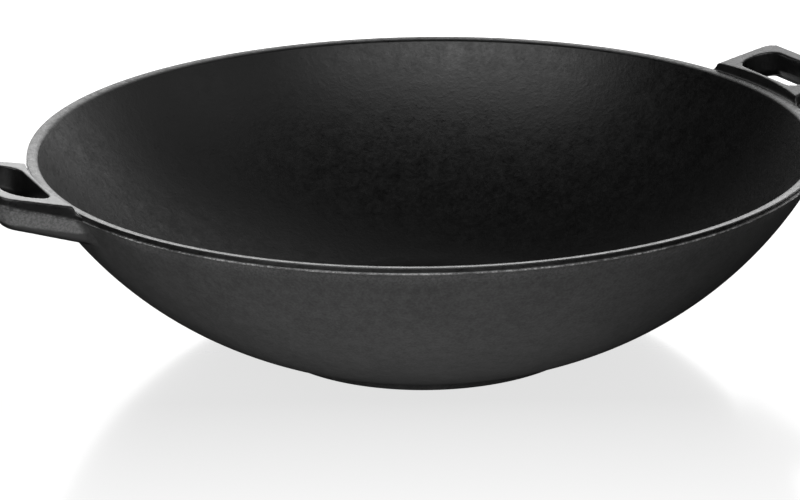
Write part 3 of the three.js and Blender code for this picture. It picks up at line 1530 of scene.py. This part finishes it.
@dataclass
class Studio:
    """White floor, white background, soft lamps and the camera of the photograph."""

    azimuth: float = -25.566
    elevation: float = 18.8705
    distance: float = 1.16292
    target_height: float = 0.05
    focal_pixels: float = 2447.15
    image_width: float = 800.0
    centre_right: float = 26.149
    centre_up: float = 20.836
    roll: float = -0.7024
    sensor: float = 36.0
    clip: Range = (0.05, 50.0)
    floor_size: float = 8.0
    floor_drop: float = 0.0002
    floor_glaze: float = 0.06
    floor_roughness: float = 0.14
    floor_glow: float = 3.3
    glow_front: float = 1 / 3
    glow_edge: Range = (-0.4, -0.3)
    glow_shadow: Range = (-0.23, -0.06)
    glow_middle: float = -0.05
    glow_side: Range = (0.1, 0.26)
    glow_back: Range = (0.16, 0.5)
    glow_foot: float = 0.1
    glow_under: Range = (0.07, 0.078)
    # Levels and ranges of the shadow painted on the floor under the wok.
    painted_shadow_clear: Range = (0.3, 0.6)
    painted_shadow_front: float = 0.94
    painted_shadow_under: float = 0.74
    painted_shadow_fade: Range = (-0.23, -0.09)
    ambient: float = 0.02
    lights: tuple[SoftLight, ...] = (
        SoftLight("backdrop", 180.0, 14.0, 45.0, 3.0),
        SoftLight("right_back_top", 150.0, 40.0, 30.0, 0.5),
        SoftLight("right_back_panel", 148.0, 10.0, 50.0, 1.2),
        SoftLight("right_panel", 115.0, 9.0, 50.0, 0.7),
        SoftLight("right_box", 80.0, 32.0, 40.0, 0.8),
        SoftLight("front_left_box", -45.0, 37.0, 60.0, 3.4),
        SoftLight("front_box", -10.0, 35.0, 60.0, 5.4),
        SoftLight("front_right_box", 24.0, 37.0, 60.0, 2.6),
    )

    def build(self) -> None:
        """Set up the floor, background, lamps, camera and view."""
        self.add_floor()
        self.light_background()
        self.place_camera()
        bpy.context.scene.view_settings.view_transform = "Standard"

    def add_floor(self) -> None:
        """Add a glossy white floor that glows softly, with a painted shadow under the wok."""
        bpy.ops.object.select_all(action="DESELECT")
        bpy.ops.mesh.primitive_plane_add(size=self.floor_size, location=(0, 0, -self.floor_drop))
        floor = bpy.context.active_object
        floor.name = "studio_floor"
        made = bpy.data.materials.new("white_floor")
        made.use_nodes = True
        graph = Graph(made.node_tree)
        spot = graph.place()
        forward = graph.along(spot, -outward(self.azimuth, 0.0))
        sideways = graph.along(spot, outward(self.azimuth + 90.0, 0.0))
        away = graph.length(spot)
        shown = self.shown_floor(graph, forward, away)
        hidden = self.hidden_glow(graph, forward, sideways, away)
        seen = graph.node("ShaderNodeLightPath", {}, {}).outputs["Is Camera Ray"]
        clear = graph.node("ShaderNodeBsdfTransparent", {}, {}).outputs[0]
        behind = graph.node("ShaderNodeNewGeometry", {}, {}).outputs["Backfacing"]
        surface = graph.blend(behind, graph.blend(seen, hidden, shown), clear)
        graph.node("ShaderNodeOutputMaterial", {}, {"Surface": surface})
        floor.data.materials.append(made)

    def shown_floor(self, graph: Graph, forward: Value, away: Value) -> bpy.types.NodeSocket:
        """The floor that the camera sees: a painted shadow under the wok, white away from it.

        Args:
            graph: the floor's graph.
            forward: distance behind the wok's axis, as seen from the camera.
            away: distance from the wok's axis.

        Returns:
            The shader's socket.
        """
        # Painted shadow: the floor is darker under the wok and clears to white away from it.
        shadow_fade = graph.node(
            "ShaderNodeMapRange",
            {},
            {
                "Value": forward,
                "From Min": self.painted_shadow_fade[0],
                "From Max": self.painted_shadow_fade[1],
                "To Min": self.painted_shadow_front,
                "To Max": self.painted_shadow_under,
            },
        )
        shadowed_white = Value(graph, shadow_fade.outputs[0])
        shadowed_white = shadowed_white + (1 - shadowed_white) * away.ramp(*self.painted_shadow_clear)
        glaze = graph.node(
            "ShaderNodeBsdfPrincipled",
            {},
            {
                "Base Color": grey(self.floor_glaze),
                "Roughness": self.floor_roughness,
                "Emission Color": graph.mix(shadowed_white, grey(0.0), grey(1.0)),
                "Emission Strength": 1.0,
            },
        )
        return glaze.outputs[0]

    def hidden_glow(
        self, graph: Graph, forward: Value, sideways: Value, away: Value
    ) -> bpy.types.NodeSocket:
        """The floor's soft glow on the wok: in front, behind and under the foot.

        Args:
            graph: the floor's graph.
            forward: distance behind the wok's axis, as seen from the camera.
            sideways: distance to the right of the wok's axis.
            away: distance from the wok's axis.

        Returns:
            The shader's socket.
        """
        aside = graph.maths("ABSOLUTE", sideways - self.glow_middle, 0.0)
        front = forward.ramp(*self.glow_edge) * (1 - forward.ramp(*self.glow_shadow))
        front = front * (1 - aside.ramp(*self.glow_side)) * self.glow_front
        under = (1 - away.ramp(*self.glow_under)) * self.glow_foot
        lit = front + forward.ramp(*self.glow_back) + under
        glow = graph.node(
            "ShaderNodeEmission",
            {},
            {"Color": graph.mix(lit, grey(0.0), grey(1.0)), "Strength": self.floor_glow},
        )
        return glow.outputs[0]

    def light_background(self) -> None:
        """Show the camera a white background, and light the wok dimly from all round."""
        world = bpy.data.worlds.new("white_studio")
        world.use_nodes = True
        graph = Graph(world.node_tree)
        look = graph.node("ShaderNodeTexCoord", {}, {}).outputs["Generated"]
        rays = graph.node("ShaderNodeLightPath", {}, {})
        seen = Value(graph, rays.outputs["Is Camera Ray"])
        glow = sum((light.glow(graph, look, self.azimuth) for light in self.lights), self.ambient)
        LOG.info("studio lit by %s", ", ".join(light.name for light in self.lights))
        strength = glow * (1 - seen) + seen
        sky = graph.node("ShaderNodeBackground", {}, {"Color": grey(1.0), "Strength": strength})
        graph.node("ShaderNodeOutputWorld", {}, {"Surface": sky.outputs[0]})
        bpy.context.scene.world = world

    def place_camera(self) -> None:
        """Add the camera at the photograph's view."""
        back = outward(self.azimuth, self.elevation)
        place = back * self.distance + Vector((0, 0, self.target_height))
        bpy.ops.object.camera_add(location=place)
        camera = bpy.context.active_object
        camera.rotation_mode = "QUATERNION"
        roll = Quaternion((0, 0, 1), math.radians(self.roll))
        camera.rotation_quaternion = (-back).to_track_quat("-Z", "Y") @ roll
        camera.data.sensor_width = self.sensor
        camera.data.lens = self.focal_pixels * self.sensor / self.image_width
        camera.data.shift_x = -self.centre_right / self.image_width
        camera.data.shift_y = -self.centre_up / self.image_width
        camera.data.clip_start, camera.data.clip_end = self.clip
        bpy.context.scene.camera = camera


def main() -> None:
    """Build the wok's pieces and the studio."""
    logging.basicConfig(level=logging.INFO, format="%(name)s: %(message)s")
    pieces: list[Piece] = []
    for piece in (Bowl(), FootPad(), RimLip()):
        piece.build()
        pieces.append(piece)
    pattern = LoopHandle(node="right_handle")
    pattern.build()
    pieces.append(pattern.copied_to("right_handle", Side.RIGHT, "wok_right_handle"))
    pieces.append(pattern.copied_to("left_handle", Side.LEFT, "wok_left_handle"))
    bpy.data.objects.remove(pattern.mesh)
    for piece in pieces:
        piece.dress()
        piece.hand_over()
    Studio().build()
    bpy.context.view_layer.update()


if __name__ == "__main__":
    main()
